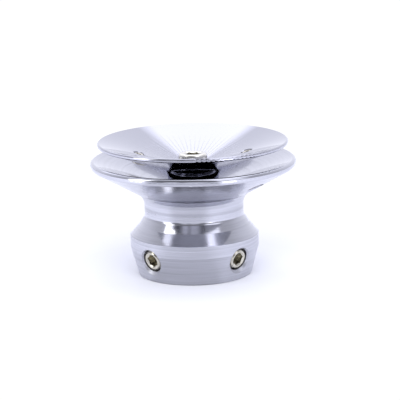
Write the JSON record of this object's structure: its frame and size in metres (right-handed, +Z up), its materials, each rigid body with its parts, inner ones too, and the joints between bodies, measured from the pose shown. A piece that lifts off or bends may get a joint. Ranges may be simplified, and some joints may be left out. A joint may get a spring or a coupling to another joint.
{
  "type": "prosthetic socket adapter",
  "caption": "Turned metal adapter with two dished clamping discs for a plastic socket above and a pyramid receiver with set screws below.",
  "frame": {"origin": "centre of the bottom face of the receiver's mouth, on the turning axis", "axes": "+Z up along the turning axis, from the receiver to the discs; -Y is the front, between two set screws; +X is the right, towards one upper grub screw"},
  "size_m": [0.0716, 0.0716, 0.047],
  "materials": {
    "turned_alloy": "fine turned cup and neck, polished disc",
    "polished_alloy": "polished",
    "nickel_steel": "bright nickel",
    "spring_steel": "satin"
  },
  "bodies": {
    "receiver": {"receiver_body": "turned_alloy"},
    "clamp_disc": {"upper_disc": "polished_alloy"},
    "clamp_bolt": {"centre_bolt": "nickel_steel", "lock_washer": "spring_steel", "flat_washer": "nickel_steel"},
    "set_screw_front_right": {"set_screw_front_right": "nickel_steel"},
    "set_screw_rear_right": {"set_screw_rear_right": "nickel_steel"},
    "set_screw_rear_left": {"set_screw_rear_left": "nickel_steel"},
    "set_screw_front_left": {"set_screw_front_left": "nickel_steel"},
    "lower_grub_screw_right": {"lower_grub_screw_right": "nickel_steel"},
    "lower_grub_screw_left": {"lower_grub_screw_left": "nickel_steel"},
    "upper_grub_screw_right": {"upper_grub_screw_right": "nickel_steel"},
    "upper_grub_screw_left": {"upper_grub_screw_left": "nickel_steel"}
  },
  "joints": [
    {"name": "clamp_disc_lift", "type": "slide", "parent": "receiver", "child": "clamp_disc", "axis": [0, 0, 1], "range_m": [0, 0.006]},
    {"name": "centre_bolt_travel", "type": "slide", "parent": "clamp_disc", "child": "clamp_bolt", "axis": [0, 0, 1], "range_m": [0, 0.006]},
    {"name": "set_screw_front_right_travel", "type": "slide", "parent": "receiver", "child": "set_screw_front_right", "axis": [0.683, -0.683, -0.2588], "range_m": [-0.002, 0.007]},
    {"name": "set_screw_rear_right_travel", "type": "slide", "parent": "receiver", "child": "set_screw_rear_right", "axis": [0.683, 0.683, -0.2588], "range_m": [-0.002, 0.007]},
    {"name": "set_screw_rear_left_travel", "type": "slide", "parent": "receiver", "child": "set_screw_rear_left", "axis": [-0.683, 0.683, -0.2588], "range_m": [-0.002, 0.007]},
    {"name": "set_screw_front_left_travel", "type": "slide", "parent": "receiver", "child": "set_screw_front_left", "axis": [-0.683, -0.683, -0.2588], "range_m": [-0.002, 0.007]},
    {"name": "lower_grub_screw_right_travel", "type": "slide", "parent": "receiver", "child": "lower_grub_screw_right", "axis": [0.3916, -0.306, -0.8678], "range_m": [-0.0015, 0.003]},
    {"name": "lower_grub_screw_left_travel", "type": "slide", "parent": "receiver", "child": "lower_grub_screw_left", "axis": [-0.3916, 0.306, -0.8678], "range_m": [-0.0015, 0.003]},
    {"name": "upper_grub_screw_right_travel", "type": "slide", "parent": "clamp_disc", "child": "upper_grub_screw_right", "axis": [-0.2874, 0, 0.9578], "range_m": [-0.001, 0.0018]},
    {"name": "upper_grub_screw_left_travel", "type": "slide", "parent": "clamp_disc", "child": "upper_grub_screw_left", "axis": [0.2874, 0, 0.9578], "range_m": [-0.001, 0.0018]}
  ]
}
